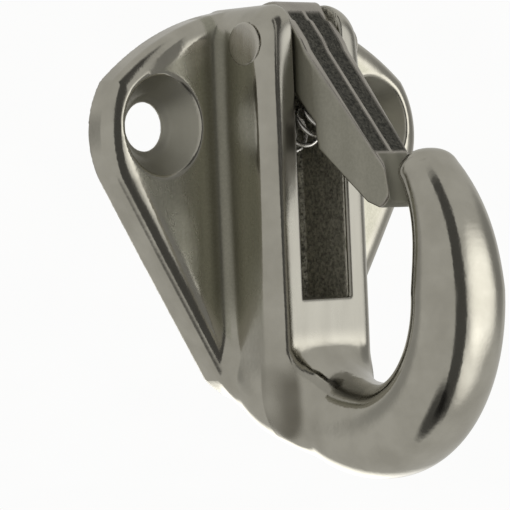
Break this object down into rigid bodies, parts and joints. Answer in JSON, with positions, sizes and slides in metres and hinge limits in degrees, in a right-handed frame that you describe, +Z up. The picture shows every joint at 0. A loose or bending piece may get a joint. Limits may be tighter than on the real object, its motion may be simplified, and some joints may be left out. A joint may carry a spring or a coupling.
{
  "type": "wall-plate hook with sprung latch",
  "caption": "Cast stainless wall plate hook: drop-shaped plate with countersunk screw holes, a ribbed hook and a sprung latch that swings into the rib to let a rope or ring in.",
  "frame": {"origin": "midway between the two screw holes, on the flat back face that lies against the wall", "axes": "+Z up along the plate, +X to the right seen from the front, +Y into the wall; the hook stands out towards -Y"},
  "size_m": [0.0488, 0.0361, 0.0538],
  "materials": {
    "polished_casting": "polished investment-cast stainless steel",
    "latch_steel": "polished cheeks, as-cast front face",
    "pin_steel": "ground flush with the rib",
    "spring_wire": "bright drawn wire"
  },
  "bodies": {
    "body": {"hook_body": "polished_casting", "hinge_pin": "pin_steel", "spring": "spring_wire"},
    "latch": {"latch": "latch_steel"}
  },
  "joints": [
    {"name": "latch_pivot", "type": "hinge", "parent": "body", "child": "latch", "pos_m": [0, -0.008, 0.0088], "axis": [1, 0, 0], "range_deg": [0, 20], "stiffness_Nm_per_rad": 0.33, "springref_deg": -10.03, "deforming": ["spring"]}
  ]
}
